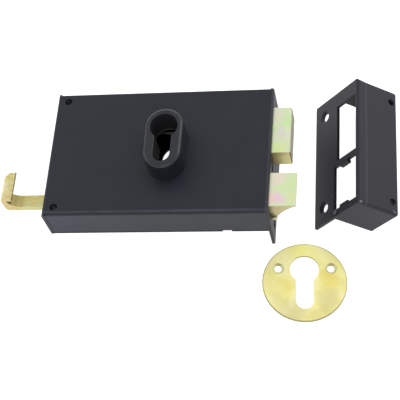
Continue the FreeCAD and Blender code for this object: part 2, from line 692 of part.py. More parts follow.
def latch():
    """Head hollowed from its heel to a thin tip, on a tail plate that carries the pull hook and drive pin."""
    body = doc.addObject("PartDesign::Body", "latch_head_body")
    tip = "case_width + latch_reach"
    corners = [(HEAD_BACK, "latch_low"), (tip, "latch_low"),
               (tip, "latch_low + latch_height"), (HEAD_BACK, "latch_low + latch_height")]
    pad(body, "latch_block", "XY_Plane", corners, LATCH_BACK, "latch_thick")
    back = size("case_depth") - size("bolt_set") - size("latch_thick")
    front_tip = FreeCAD.Vector(size("case_width") + size("latch_reach"), 0,
                               back + size("latch_thick") - size("latch_tip"))
    shoulder = FreeCAD.Vector(size("case_width") + size("latch_square"), 0, back + size("latch_heel"))
    chord = front_tip - shoulder
    inward = FreeCAD.Vector(-chord.z, 0, chord.x).normalize()
    middle = (front_tip + shoulder) * 0.5 + inward * size("latch_hollow")
    bevel_edge = Part.Arc(shoulder, middle, front_tip).toShape()
    past = FreeCAD.Vector(front_tip.x + 1, 0, front_tip.z)
    under = FreeCAD.Vector(front_tip.x + 1, 0, back - 1)
    near = FreeCAD.Vector(shoulder.x, 0, back - 1)
    corners = [front_tip, past, under, near, shoulder]
    runs = [Part.makeLine(a, b) for a, b in zip(corners, corners[1:])]
    face = Part.Face(Part.Wire([bevel_edge] + runs))
    waste = doc.addObject("Part::Feature", "latch_bevel")
    waste.Shape = face.extrude(FreeCAD.Vector(0, size("case_height"), 0))
    tail_high = "latch_tail_high - latch_tail_low"
    rivet_places = [(RIVET_X, "latch_tail_low + rivet_inset"), (RIVET_X, "latch_tail_high - rivet_inset")]
    tools = [waste, box("latch_joint", (HEAD_BACK, "latch_tail_low", LATCH_TAIL_BACK),
                        ("tail_joint", tail_high, "tail_sheet"))]
    tools += [rod("latch_rivet_bore%d" % i, (x, y, LATCH_BACK), "rivet", "latch_thick")
              for i, (x, y) in enumerate(rivet_places)]
    tools.append(rod("rod_socket", (HEAD_BACK, "spring_height", BOLT_BACK + " + bolt_thick / 2"), "rod",
                     "tail_joint / 2", "x"))
    keep(LOCK, cut("latch_cut", body, tools), "latch_head")

    blank = box("latch_tail_blank", ("latch_tail_end", "latch_tail_low", LATCH_TAIL_BACK),
                (JOINT_END + " - latch_tail_end", tail_high, "tail_sheet"))
    hook_places = [(x, "bar_low + bar_height / 2") for x in ("hook_rivet_first", "hook_rivet_second")]
    pin_at = (PIN_X, PIN_Y)
    tools = [guide_slot("latch_guide", "latch_post_place", "latch_post_height", "latch_travel",
                        LATCH_TAIL_BACK)]
    tools += [rod("latch_tail_bore%d" % i, (x, y, LATCH_TAIL_BACK), "rivet", "tail_sheet")
              for i, (x, y) in enumerate(rivet_places + [hook_places[1]] + [pin_at])]
    keep(LOCK, cut("latch_tail_cut", blank, tools), "latch_tail")
    rivets("latch_head_rivets", rivet_places, LATCH_BACK, LATCH_BACK + " + latch_thick")
    guide_post("latch_guide_post", "latch_post_place", "latch_post_height", LATCH_TAIL_BACK)
    pin_low = LEVER_BACK + " - drive_pin_spare"
    pin = rod("pin_bar", pin_at + (pin_low,), "drive_pin", "%s - (%s)" % (LATCH_TAIL_BACK, pin_low))
    neck = rod("pin_neck", pin_at + (LATCH_TAIL_BACK,), "rivet", "tail_sheet")
    head = rod("pin_head", pin_at + ("bar_back",), "drive_pin_head", "rivet_head_deep")
    keep(LOCK, fuse("pin_whole", [pin, neck, head]), "latch_drive_pin")
    hook(hook_places)


# The lever swings evenly to both sides of upright while the pin crosses below its pivot.
PIN_X = "(lever_place + latch_travel / 2)"
PIN_Y = "latch_post_height"
LEVER_BACK = "(%s - lever_gap - lever_sheet)" % LATCH_TAIL_BACK


def hook(rivet_places):
    """Bar out of the left side, bent to the front and ended by an upright finger tab."""
    body = doc.addObject("PartDesign::Body", "hook_body")
    top = "bar_back + bar_thick"
    rise = "bar_back + bar_thick + hook_rise - tab_thick"
    bend = [("bar_inside", "bar_back"), ("-hook_reach", "bar_back"),
            ("-hook_reach", rise + " + tab_thick / 2"),
            ("-hook_reach + rise_thick", rise + " + tab_thick / 2"),
            ("-hook_reach + rise_thick", top), ("bar_inside", top)]
    bar = pad(body, "hook_bar", "XZ_Plane", bend, "-bar_low - bar_height", "bar_height")
    bar = round_corners(body, "hook_outer", bar, "hook_bar", [1], "hook_outer_round")
    bar = round_corners(body, "hook_inner", bar, "hook_bar", [4], "hook_inner_round")
    plate = doc.addObject("PartDesign::Body", "tab_body")
    outline = [("-hook_reach", "bar_low"), ("-hook_reach + tab_width", "bar_low"),
               ("-hook_reach + tab_width", "bar_low + tab_height"), ("-hook_reach", "bar_low + tab_height")]
    tab = pad(plate, "tab", "XY_Plane", outline, rise, "tab_thick")
    tab = round_corners(plate, "tab_shoulder", tab, "tab", [3], "tab_round")
    tab = round_corners(plate, "tab_foot", tab, "tab", [1], "tab_foot_round")
    whole = fuse("hook_whole", [body, plate])
    front = size("bar_back") + size("bar_thick") + size("hook_rise")
    right = size("tab_width") - size("hook_reach")

    def worn(edge):
        """The tab's front edges: crowned where the finger bears, crisp on the side of the case and below."""
        box_ = edge.BoundBox
        crisp = box_.XMin > right - size("tab_foot_round") - 0.01 or on(box_.YMax, size("bar_low"))
        return size("tab_edge" if crisp else "tab_crown") if flat_at(edge, front) else 0
    eased = soften("hook_eased", whole, worn)
    tools = [rod("hook_bore%d" % i, (x, y, "bar_back"), "rivet", "bar_thick")
             for i, (x, y) in enumerate(rivet_places)]
    keep(LOCK, cut("hook_cut", eased, tools), "pull_hook")
    rivets("pull_hook_rivets", rivet_places, LATCH_TAIL_BACK, top, head=True)


def biarc(start, start_way, end, end_way):
    """Two arcs, tangent to each other, from one point and direction to another."""
    span = end - start
    both = start_way + end_way
    turn = 2 * (1 - start_way * end_way)
    reach = (-(span * both) + math.sqrt((span * both) ** 2 + turn * (span * span))) / turn
    first, last = start + start_way * reach, end - end_way * reach
    meet = (first + last) * 0.5
    arcs = []
    for low, apex, high in ((start, first, meet), (meet, last, end)):
        chord = (high - low) * 0.5
        middle = low + chord
        lean = apex - middle
        sagitta = chord.Length * math.tan(math.atan2(lean.Length, chord.Length) / 2)
        arcs.append(Part.Arc(low, middle + lean.normalize() * sagitta, high).toShape())
    return arcs


def latch_spring():
    """Coil between the stop and the back of the latch head, on a guide rod that the head carries."""
    height = size("spring_height")
    middle = size("case_depth") - size("bolt_set") - size("bolt_thick") / 2
    wire, seat, turns = size("spring_wire"), size("spring_seat"), int(size("spring_turns"))
    mean = (size("spring_outer") - wire) / 2
    low = size("stop_place") + size("stop_sheet") + seat + wire / 2
    high = size("case_width") - size("bolt_inside") - seat - wire / 2
    pitch = (high - low) / turns
    steps = [2 * math.pi * i / 4 for i in range(4 * turns + 1)]
    climb = pitch / (2 * math.pi)
    points = [FreeCAD.Vector(low + climb * a, height + mean * math.cos(a), middle + mean * math.sin(a))
              for a in steps]
    ways = [FreeCAD.Vector(climb, -mean * math.sin(a), mean * math.cos(a)).normalize() for a in steps]
    arcs = []
    for i in range(len(steps) - 1):
        arcs += biarc(points[i], ways[i], points[i + 1], ways[i + 1])
    path = Part.Wire(arcs)
    ring = Part.Wire(Part.makeCircle(wire / 2, points[0], ways[0]))
    coil = path.makePipeShell([ring], True, False)
    gap = pitch * math.cos(math.atan2(climb, mean)) - wire
    print("latch spring: least gap between turns %.2f mm" % gap)
    spring = doc.addObject("Part::Feature", "coil")
    spring.Shape = coil
    keep(LOCK, spring, "latch_spring")
    centre = BOLT_BACK + " + bolt_thick / 2"
    bar = rod("rod_bar", ("rod_end", "spring_height", centre), "rod",
              HEAD_BACK + " + tail_joint / 2 - rod_end", "x")
    keep(LOCK, group("guide_rod", [bar]), "spring_guide_rod")
    stop_low = "latch_tail_high + stop_clear"
    stop_tall = "stop_over - (%s)" % stop_low
    foot = box("stop_foot_plate", ("stop_place - stop_foot + stop_sheet", stop_low, "back_sheet"),
               ("stop_foot", stop_tall, "stop_sheet"))
    upright = box("stop_upright", ("stop_place", stop_low, "back_sheet"),
                  ("stop_sheet", stop_tall, "stop_high - back_sheet"))
    bore = rod("stop_bore", ("stop_place", "spring_height", centre), "rod + 2 * rod_clear", "stop_sheet", "x")
    keep(LOCK, cut("stop", fuse("stop_whole", [foot, upright]), [bore]), "spring_stop")


def lever():
    """Bell crank that the cylinder's cam turns to draw the latch back, and the stud that it turns on."""
    low = LEVER_BACK
    below = size("lever_height") - size("latch_post_height")
    half_swing = math.degrees(math.atan2(size("latch_travel") / 2, below))
    boss = rod("lever_boss_disc", ("lever_place", "lever_height", low), "lever_boss", "lever_sheet")

    def arm(name, start, reach, width, angle):
        """A bar of the lever that leaves the pivot at an angle, as a box turned about the pivot."""
        bar = box(name, ("lever_place", "lever_height", low),
                  ("%s - (%s)" % (reach, start), width, "lever_sheet"))
        turn = FreeCAD.Rotation(FreeCAD.Vector(0, 0, 1), angle)
        bar.Placement.Rotation = turn
        ahead = turn.multVec(FreeCAD.Vector(1, 0, 0))
        aside = turn.multVec(FreeCAD.Vector(0, 1, 0))
        corner = "%s + (%s) * %.9f - (%s) / 2 * %.9f"
        bind(bar, Placement__Base__x=corner % ("lever_place", start, ahead.x, width, aside.x),
             Placement__Base__y=corner % ("lever_height", start, ahead.y, width, aside.y))
        return bar
    rise = size("lever_arm_rise")
    tip = rod("lever_tip_disc", ("lever_place + lever_arm * %.9f" % math.cos(math.radians(rise)),
                                 "lever_height + lever_arm * %.9f" % math.sin(math.radians(rise)), low),
              "lever_tip", "lever_sheet")
    cam_arm = arm("lever_cam_arm", "0", "lever_arm", "lever_tip", rise)
    down = -90 + half_swing
    drop = "(lever_height - latch_post_height)"
    fork = arm("lever_fork_arm", "0", drop + " + lever_fork_past", "lever_fork_width", down)
    throat = arm("lever_throat", drop + " - drive_pin / 2 - 2 * drive_pin_clear",
                 drop + " + lever_fork_past + lever_sheet", "drive_pin + 2 * drive_pin_clear", down)
    whole = fuse("lever_whole", [boss, cam_arm, tip, fork])
    bore = rod("lever_bore", ("lever_place", "lever_height", low), "lever_pivot + 2 * running_clear",
               "lever_sheet")
    keep(LOCK, cut("lever_cut", whole, [throat, bore]), "latch_lever")
    at = ("lever_place", "lever_height")
    spacer = rod("stud_spacer", at + ("back_sheet",), "stud_spacer", low + " - running_clear - back_sheet")
    journal = rod("stud_journal", at + ("back_sheet",), "lever_pivot",
                  low + " + lever_sheet + 2 * running_clear + lever_washer_sheet + stud_end - back_sheet")
    keep(LOCK, fuse("stud", [spacer, journal]), "lever_pivot_stud")
    washer_low = low + " + lever_sheet + 2 * running_clear"
    disc = rod("washer_disc", at + (washer_low,), "lever_washer", "lever_washer_sheet")
    hole = rod("washer_hole", at + (washer_low,), "lever_pivot + 2 * thread_clear", "lever_washer_sheet")
    keep(LOCK, cut("washer", disc, [hole]), "lever_washer")


def keeper_shell():
    """Open-backed box with an opening for each bolt and a screw flange that reaches behind it.

    The front rises a little in a narrow lip along its fold with the bolts' face.
    """
    face = box("keeper_face", ("0", "0", "-keeper_flange"),
               ("keeper_sheet", "keeper_height", "keeper_depth + keeper_flange"))
    body = doc.addObject("PartDesign::Body", "keeper_front_body")
    outline = [("0", "keeper_depth - keeper_sheet"), ("keeper_width", "keeper_depth - keeper_sheet"),
               ("keeper_width", "keeper_depth"), ("lip_width", "keeper_depth"),
               ("0", "keeper_depth + lip_rise")]
    pad(body, "keeper_front", "XZ_Plane", outline, "-keeper_height", "keeper_height")
    side = box("keeper_side", ("keeper_width - keeper_sheet", "0", "0"),
               ("keeper_sheet", "keeper_height", "keeper_depth"))
    low = box("keeper_low", ("0", "0", "0"), ("keeper_width", "keeper_sheet", "keeper_depth"))
    high = box("keeper_high", ("0", "keeper_height - keeper_sheet", "0"),
               ("keeper_width", "keeper_sheet", "keeper_depth"))
    folded = fuse("keeper_folded", [face, body, side, low, high])
    deep, wide, tall = size("keeper_depth"), size("keeper_width"), size("keeper_height")

    def fold(edge):
        """The outer folds round the front, and the far corners that stand behind it."""
        box_ = edge.BoundBox
        at_end = on(box_.YMin, box_.YMax) and (on(box_.YMin, 0) or on(box_.YMin, tall))
        at_side = on(box_.XMin, box_.XMax) and (on(box_.XMin, 0) or on(box_.XMin, wide))
        across = at_end and box_.ZMin > deep - 0.01 and box_.XLength > size("lip_width") / 2
        along = at_side and box_.ZMin > deep - 0.01 and box_.YLength > tall / 2
        corner = at_end and on(box_.XMin, wide) and box_.ZLength > deep / 2
        return size("keeper_round") if across or along or corner else 0
    rounded = soften("keeper_rounded", folded, fold)
    tools = []
    for bolt in ("dead", "latch"):
        at = ("0", "keeper_%s_low" % bolt, "keeper_depth - keeper_front_edge - keeper_%s_deep" % bolt)
        tools.append(box("keeper_%s_opening" % bolt, at,
                         ("keeper_sheet", "keeper_%s_height" % bolt, "keeper_%s_deep" % bolt)))
    for i, up in enumerate(("keeper_hole_end", "keeper_height - keeper_hole_end")):
        at = ("0", up, "-keeper_hole_back")
        tools.append(rod("keeper_bore%d" % i, at, "keeper_hole", "keeper_sheet", "x"))
        tools.append(cone("keeper_sink%d" % i, at, "keeper_sink", "keeper_hole", "keeper_sink_deep", "x"))
    for i, up in enumerate(("keeper_front_hole_end", "keeper_height - keeper_front_hole_end")):
        at = ("keeper_width - keeper_front_hole_side", up, "keeper_depth - keeper_sheet")
        tools.append(rod("keeper_front_bore%d" % i, at, "keeper_front_hole", "keeper_sheet"))
    opened = cut("keeper_opened", rounded, tools)
    lug_z = "keeper_depth - keeper_front_edge - keeper_latch_deep + lug_in"
    lugs = [box("lug_low", ("0", "keeper_latch_low", lug_z), ("lug_deep", "lug_high", "lug_width")),
            box("lug_high_piece", ("0", "keeper_latch_low + keeper_latch_height - lug_high", lug_z),
                ("lug_deep", "lug_high", "lug_width"))]
    keep(KEEPER, fuse("keeper_whole", [opened] + lugs), "keeper_shell")


def escutcheon():
    """Flat disc with the profile hole and two countersunk screw holes."""
    disc = rod("disc_blank", ("0", "0", "0"), "disc", "disc_sheet")
    top = size("disc_sheet")
    eased = soften("disc_eased", disc, lambda e: size("disc_edge") if flat_at(e, top) else 0)
    rise = "disc_length / 2 - disc_circle / 2"
    opening = ("disc_circle", "disc_slot", "disc_length")
    tools = [profile("disc_profile", ("0", rise), opening, "0", "disc_sheet")]
    for i, side in enumerate((-1, 1)):
        at = ("%d * disc_hole_side" % side, rise + " + disc_hole_rise")
        tools.append(rod("disc_bore%d" % i, at + ("0",), "disc_hole", "disc_sheet"))
        tools.append(cone("disc_sink%d" % i, at + ("disc_sheet - disc_sink_deep",), "disc_hole", "disc_sink",
                          "disc_sink_deep"))
    keep(DISC, cut("disc_cut", eased, tools), "escutcheon")


case_shell()
back_plate()
collar()
spacers()
dead_bolt()
detent()
latch()
latch_spring()
lever()
keeper_shell()
escutcheon()
doc.recompute()

# Each folded piece rests on the far edge of its back and on the free inner edge of its flange.
UP = FreeCAD.Vector(0, 0, 1)
SIDEWAYS = FreeCAD.Vector(0, 1, 0)
lock_tilt = math.atan2(size("flange_reach"), size("case_width") - size("case_sheet"))
keeper_tilt = math.atan2(size("keeper_flange"), size("keeper_width") - size("keeper_sheet"))
lock_place = FreeCAD.Placement(FreeCAD.Vector(), FreeCAD.Rotation(SIDEWAYS, -math.degrees(lock_tilt)))
keeper_lean = FreeCAD.Rotation(SIDEWAYS, math.degrees(keeper_tilt))
keeper_aside = size("case_width") + size("keeper_gap") + size("keeper_flange") * math.sin(keeper_tilt)
keeper_at = FreeCAD.Vector(keeper_aside, size("keeper_up"), size("keeper_width") * math.sin(keeper_tilt))
keeper_place = FreeCAD.Placement(keeper_at, FreeCAD.Rotation(UP, size("keeper_turn")) * keeper_lean)
disc_at = FreeCAD.Vector(size("case_width") + size("disc_across"), -size("disc_down"), 0)
disc_place = FreeCAD.Placement(disc_at, FreeCAD.Rotation(UP, size("disc_turn")))
families = [(LOCK, lock_place), (KEEPER, keeper_place), (DISC, disc_place)]
nodes = LOCK + KEEPER + DISC

for family, placement in families:
    for node in family:
        node.Placement = placement
doc.recompute()

# The origin is the middle of the whole set's outline, on the table.
whole = Part.makeCompound([node.Shape for node in nodes]).optimalBoundingBox(False)
shift = FreeCAD.Placement(FreeCAD.Vector(-whole.Center.x, -whole.Center.y, -whole.ZMin), FreeCAD.Rotation())
for family, placement in families:
    for node in family:
        node.Placement = shift * placement
doc.recompute()

for thing in doc.Objects:
    if "Invalid" in thing.State or "Error" in thing.State:
        raise RuntimeError("%s failed: %s" % (thing.Label, thing.State))
for node in nodes:
    if node.Shape.isNull() or not node.Shape.isValid() or not node.Shape.Solids:
        raise RuntimeError("%s has no valid solid" % node.Label)

os.makedirs("parts", exist_ok=True)
for node in nodes:
    node.Shape.exportStep("parts/%s.step" % node.Label)
print("%d nodes, %.1f x %.1f x %.1f mm" % (len(nodes), whole.XLength, whole.YLength, whole.ZLength))
print("shift of the set's frame: %.4f, %.4f, %.4f" % tuple(shift.Base))
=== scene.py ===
"""Rim lock with its keeper and escutcheon, laid out on a pale table.

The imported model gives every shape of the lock. This script gives the pieces their finishes,
winds the latch spring, adds the keeper's weld beads, and sets the table, lights and camera.
The model's frame is in metres, with +X from the pull hook to the keeper and +Z up. Sizes of
the pieces and places on them are in millimetres.
"""

import bpy
import numpy as np
from mathutils import Matrix


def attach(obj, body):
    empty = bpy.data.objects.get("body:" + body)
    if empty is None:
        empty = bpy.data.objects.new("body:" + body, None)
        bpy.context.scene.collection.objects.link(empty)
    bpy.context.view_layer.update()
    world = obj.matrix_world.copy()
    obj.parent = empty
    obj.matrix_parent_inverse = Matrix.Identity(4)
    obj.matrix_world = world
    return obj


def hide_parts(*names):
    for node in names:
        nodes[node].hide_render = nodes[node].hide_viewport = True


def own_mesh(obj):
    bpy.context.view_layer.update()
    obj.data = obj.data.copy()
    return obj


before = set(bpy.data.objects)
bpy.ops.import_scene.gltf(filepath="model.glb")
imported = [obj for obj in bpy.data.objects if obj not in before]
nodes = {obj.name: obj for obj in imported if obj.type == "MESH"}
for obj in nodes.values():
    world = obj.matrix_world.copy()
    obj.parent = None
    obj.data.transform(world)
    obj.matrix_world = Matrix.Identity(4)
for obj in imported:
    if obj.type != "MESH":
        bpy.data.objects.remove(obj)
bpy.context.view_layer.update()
scene = bpy.context.scene

MM = 0.001

# Sizes that the model was made with.
CASE_WIDTH = 140.6
CASE_DEPTH = 25.0
SHEET = 2.0
FLANGE_REACH = 17.0
CYLINDER_PLACE = 76.4
COLLAR_WIDTH = 24.0
COLLAR_LENGTH = 41.7
COLLAR_REACH = 17.5
BOLT_FRONT = 21.5
LATCH_LOW = 6.1
BAR_LOW = 10.8
KEEPER_WIDTH = 31.1
KEEPER_DEPTH = 25.9
KEEPER_FLANGE = 18.9
LIP_WIDTH = 6.7
DISC_RADIUS = 26.0
DISC_SHEET = 1.4
SINK_RADIUS = 3.7

# How the pieces lie on the table. The lock and the keeper are each tilted by their screw flange, and
# LOCK_ORIGIN is where the case's own zero lies once the whole set is centred.
LOCK_TILT = np.arctan2(FLANGE_REACH, CASE_WIDTH - SHEET)
LOCK_ORIGIN = np.array((-92.4857, -24.4711, 0.0)) * MM
KEEPER_GAP = 25.1
KEEPER_UP = 11.0
KEEPER_TURN = np.radians(1.0)
KEEPER_TILT = np.arctan2(KEEPER_FLANGE, KEEPER_WIDTH - SHEET)
KEEPER_CORNER = np.array((CASE_WIDTH + KEEPER_GAP + KEEPER_FLANGE * np.sin(KEEPER_TILT), KEEPER_UP,
                          KEEPER_WIDTH * np.sin(KEEPER_TILT))) * MM
DISC_ACROSS = 20.1
DISC_DOWN = 25.7
DISC_TURN = np.radians(3.0)
DISC_MIDDLE = np.array((CASE_WIDTH + DISC_ACROSS, -DISC_DOWN, 0.0)) * MM


def turned(points, angle, first, second):
    """Points turned by an angle in the plane of two axes, from the first towards the second."""
    out = np.array(points, float)
    out[..., first] = points[..., first] * np.cos(angle) - points[..., second] * np.sin(angle)
    out[..., second] = points[..., first] * np.sin(angle) + points[..., second] * np.cos(angle)
    return out


def on_lock(points):
    """Lock's own millimetres (x to the bolts, y up the door, z to the front) to the model's frame."""
    return turned(np.asarray(points, float) * MM, LOCK_TILT, 0, 2) + LOCK_ORIGIN


def on_keeper(points):
    """Keeper's own millimetres (x inwards from its bolt face, y up, z to the front) to the model's frame."""
    tilted = turned(np.asarray(points, float) * MM, -KEEPER_TILT, 0, 2)
    return turned(tilted, KEEPER_TURN, 0, 1) + KEEPER_CORNER + LOCK_ORIGIN


def on_disc(points):
    """Escutcheon's own millimetres (from its middle, y up the slot) to the model's frame."""
    return turned(np.asarray(points, float) * MM, DISC_TURN, 0, 1) + DISC_MIDDLE + LOCK_ORIGIN


# The same places as a shader reads them: where a piece's own zero lies and how the piece is turned.
LOCK_FRAME = (LOCK_ORIGIN, (0.0, -LOCK_TILT, 0.0))
KEEPER_FRAME = (KEEPER_CORNER + LOCK_ORIGIN, (0.0, KEEPER_TILT, KEEPER_TURN))


def square_axes(back, level):
    """Right and up directions for looking against back, with right square to the level direction."""
    right = np.cross(level, back)
    right /= np.linalg.norm(right)
    return right, np.cross(back, right)


def stand(name, data, right, up, back, place):
    """A camera or lamp at a place, looking against back."""
    thing = bpy.data.objects.new(name, data)
    scene.collection.objects.link(thing)
    rows = [[right[i], up[i], back[i], place[i]] for i in range(3)]
    thing.matrix_world = Matrix(rows + [[0, 0, 0, 1]])
    return thing


# Camera: the angle, distance and lens that the photograph was taken with.
VIEW_FROM = np.array((0.0801, -0.4695, 0.8793))
VIEW_AT = np.array((-0.24, 3.68, 1.04)) * MM
VIEW_DISTANCE = 0.7751
VIEW_ROLL = np.radians(-6.07)
LENS_MM = 109.5
SENSOR_MM = 36.0


def set_camera():
    """Camera on a line from its target, rolled about its own line of sight."""
    data = bpy.data.cameras.new("camera")
    data.lens = LENS_MM
    data.sensor_width = SENSOR_MM
    back = VIEW_FROM / np.linalg.norm(VIEW_FROM)
    right, up = square_axes(back, (0.0, 0.0, 1.0))
    rolled_right = np.cos(VIEW_ROLL) * right + np.sin(VIEW_ROLL) * up
    rolled_up = -np.sin(VIEW_ROLL) * right + np.cos(VIEW_ROLL) * up
    scene.camera = stand("camera", data, rolled_right, rolled_up, back, VIEW_AT + VIEW_DISTANCE * VIEW_FROM)


set_camera()
scene.view_settings.view_transform = "Standard"


def linear(code):
    """sRGB hex colour to the linear colour that shaders take."""
    parts = np.array([int(code[i:i + 2], 16) for i in (0, 2, 4)]) / 255
    out = np.where(parts <= 0.04045, parts / 12.92, ((parts + 0.055) / 1.055) ** 2.4)
    return (*out, 1.0)


def add(tree, kind, inputs=None, out=0, **settings):
    """One more node, and the output of it that is used, or the node itself where out is None.

    Inputs are each a value or an output to link from.
    """
    node = tree.nodes.new(kind)
    for name, value in settings.items():
        setattr(node, name, value)
    for name, value in (inputs or {}).items():
        if isinstance(value, bpy.types.NodeSocket):
            tree.links.new(value, node.inputs[name])
        else:
            node.inputs[name].default_value = value
    return node if out is None else node.outputs[out]


def maths(tree, operation, *values, **settings):
    """A calculation on one or two values, each a number or an output."""
    return add(tree, "ShaderNodeMath", dict(enumerate(values)), operation=operation, **settings)


def vectors(tree, operation, *values, out=0):
    """A calculation on one or two vectors, each a tuple or an output."""
    return add(tree, "ShaderNodeVectorMath", dict(enumerate(values)), out=out, operation=operation)


def remap(tree, value, start=(0.0, 1.0), end=(0.0, 1.0), eased=False):
    """A value taken from one range to another and kept beyond it, with both ends rounded where eased."""
    inputs = {"Value": value, "From Min": start[0], "From Max": start[1], "To Min": end[0], "To Max": end[1]}
    return add(tree, "ShaderNodeMapRange", inputs, interpolation_type="SMOOTHSTEP" if eased else "LINEAR")


def blend(tree, share, under, over):
    """One colour laid over another by a share from 0 to 1."""
    return add(tree, "ShaderNodeMixRGB", {"Fac": share, "Color1": under, "Color2": over})


def ramp(tree, value, *stops):
    """The colour at a value between stops, each a place from 0 to 1 and a hex colour."""
    node = add(tree, "ShaderNodeValToRGB", {"Fac": value}, out=None)
    elements = node.color_ramp.elements
    for i, (place, code) in enumerate(stops):
        element = elements[i] if i < len(elements) else elements.new(place)
        element.position = place
        element.color = linear(code)
    return node.outputs["Color"]


def noise(tree, where, size, detail, roughness=0.5, out=0):
    """Noise whose features are about that many millimetres across."""
    inputs = {"Vector": where, "Scale": 1 / (size * MM), "Detail": detail, "Roughness": roughness}
    return add(tree, "ShaderNodeTexNoise", inputs, out=out)


def brushed(tree, where, stretch, size):
    """Noise drawn out into fine lines by a stretch along each axis."""
    along = add(tree, "ShaderNodeMapping", {"Vector": where, "Scale": stretch}, vector_type="TEXTURE")
    return noise(tree, along, size, detail=3.0, roughness=0.6)


def blank_tree(owner):
    """The node tree of a new material or world, emptied."""
    owner.use_nodes = True
    owner.node_tree.nodes.clear()
    return owner.node_tree


def new_material(name):
    """An empty material, its tree and the piece's coordinates."""
    material = bpy.data.materials.new(name)
    tree = blank_tree(material)
    return material, tree, add(tree, "ShaderNodeTexCoord", out="Object")


def finish_surface(tree, colour, roughness, relief, depth, strength, metallic, gloss=0.5):
    """The surface of a material, with a fine relief of so many millimetres."""
    normal = add(tree, "ShaderNodeBump", {"Height": relief, "Distance": depth * MM, "Strength": strength})
    inputs = {"Base Color": colour, "Roughness": roughness, "Metallic": metallic,
              "Specular IOR Level": gloss, "Normal": normal}
    shader = add(tree, "ShaderNodeBsdfPrincipled", inputs)
    add(tree, "ShaderNodeOutputMaterial", {"Surface": shader}, out=None)


def own_places(tree, where, family):
    """Places on a piece in its own millimetres, split into x, y and z."""
    origin, turn = family
    inputs = {"Vector": where, "Location": tuple(origin), "Rotation": turn, "Scale": (MM, MM, MM)}
    own = add(tree, "ShaderNodeMapping", inputs, vector_type="TEXTURE")
    return add(tree, "ShaderNodeSeparateXYZ", {"Vector": own}, out=None).outputs


# Directions in the model's frame: down the door, along the bolts to the keeper, and off the table.
DOWN = (0.0, -1.0, 0.0)
AHEAD = (1.0, 0.0, 0.0)
UP = (0.0, 0.0, 1.0)


def facing(tree, direction, low, high):
    """0 to 1 as the surface turns to a direction, between two cosines of the angle to it."""
    normal = add(tree, "ShaderNodeTexCoord", out="Normal")
    return remap(tree, vectors(tree, "DOT_PRODUCT", normal, direction, out="Value"), (low, high))


def stripe(tree, place, middle, inner, outer, share):
    """A soft line across a place: the whole share within inner of its middle, and none beyond outer."""
    apart = maths(tree, "ABSOLUTE", maths(tree, "SUBTRACT", place, middle))
    return remap(tree, apart, (inner, outer), (share, 0.0), eased=True)


def spots(place, rows):
    """Patches, stains, painted shade or painted highlight, with their middles taken from a piece's own
    millimetres to the model's frame.

    Each row is a middle, the inner and outer radius of the spot's soft edge, its share and its colour.
    """
    return [(tuple(place(middle)), *rest) for middle, *rest in rows]


def patched(tree, where, colour, patches, wander=9.0):
    """Soft patches over a colour, from spots.

    Their outlines wander, as a stain's or a film's does: by about a quarter of so many millimetres.
    """
    drift = noise(tree, where, size=wander / 1.5, detail=2.0, out="Color")
    middled = vectors(tree, "SUBTRACT", drift, (0.5, 0.5, 0.5))
    moved = add(tree, "ShaderNodeVectorMath", {0: middled, "Scale": wander * MM}, operation="SCALE")
    shifted = vectors(tree, "ADD", where, moved)
    for middle, inner, outer, share, code in patches:
        away = vectors(tree, "DISTANCE", shifted, middle, out="Value")
        near = remap(tree, away, (inner * MM, outer * MM), (share, 0.0), eased=True)
        colour = blend(tree, near, colour, linear(code))
    return colour


# How much duller the enamel is on faces towards +X.
FOREND_DULL = 0.07


def enamel(name, dark, light, sheen, gloss=0.33, overlay=None):
    """Stoved enamel sprayed on folded sheet steel: satin, faintly uneven, with a fine orange peel.

    Real orange peel is about half a millimetre, drawn here as 1.4 mm so that it shows. Faces towards
    +X, such as the forend, hung at the edge of the spray and came out duller. The overlay adds painted
    highlight and shade.
    """
    material, tree, where = new_material(name)
    cloud = noise(tree, where, size=17.0, detail=3.0, roughness=0.6)
    speck = remap(tree, noise(tree, where, size=0.9, detail=2.0, roughness=0.7), end=(-0.16, 0.16))
    colour = ramp(tree, maths(tree, "ADD", cloud, speck), (0.30, dark), (0.70, light))
    if overlay:
        colour = overlay(tree, where, colour, cloud)
    peel = noise(tree, where, size=1.4, detail=3.0, roughness=0.55)
    satin = remap(tree, cloud, end=(sheen - 0.05, sheen + 0.07))
    duller = maths(tree, "MULTIPLY", facing(tree, AHEAD, 0.7, 0.95), FOREND_DULL)
    rough = maths(tree, "ADD", satin, duller)
    finish_surface(tree, colour, rough, peel, depth=0.05, strength=0.5, metallic=0.0, gloss=gloss)
    return material


# How far out the case's low front fold begins, and the lines painted along it, a pale painted
# highlight with a dark painted shade below: the height of their middle, half their width, their share and
# colour.
FOLD_FROM = CASE_DEPTH - 2.4
FOLD_HIGHLIGHT_AND_SHADE = [(2.0, 1.1, 0.85, "434955"), (0.55, 0.8, 0.80, "08090b")]

# The places across the case between which the underside's tint fades out, and the tint: a painted
# reflection, paler and bluer, on the faces down the door.
UNDERSIDE_REFLECTION_FADE = (5.0, 70.0)
UNDERSIDE_REFLECTION_TINT = "353747"


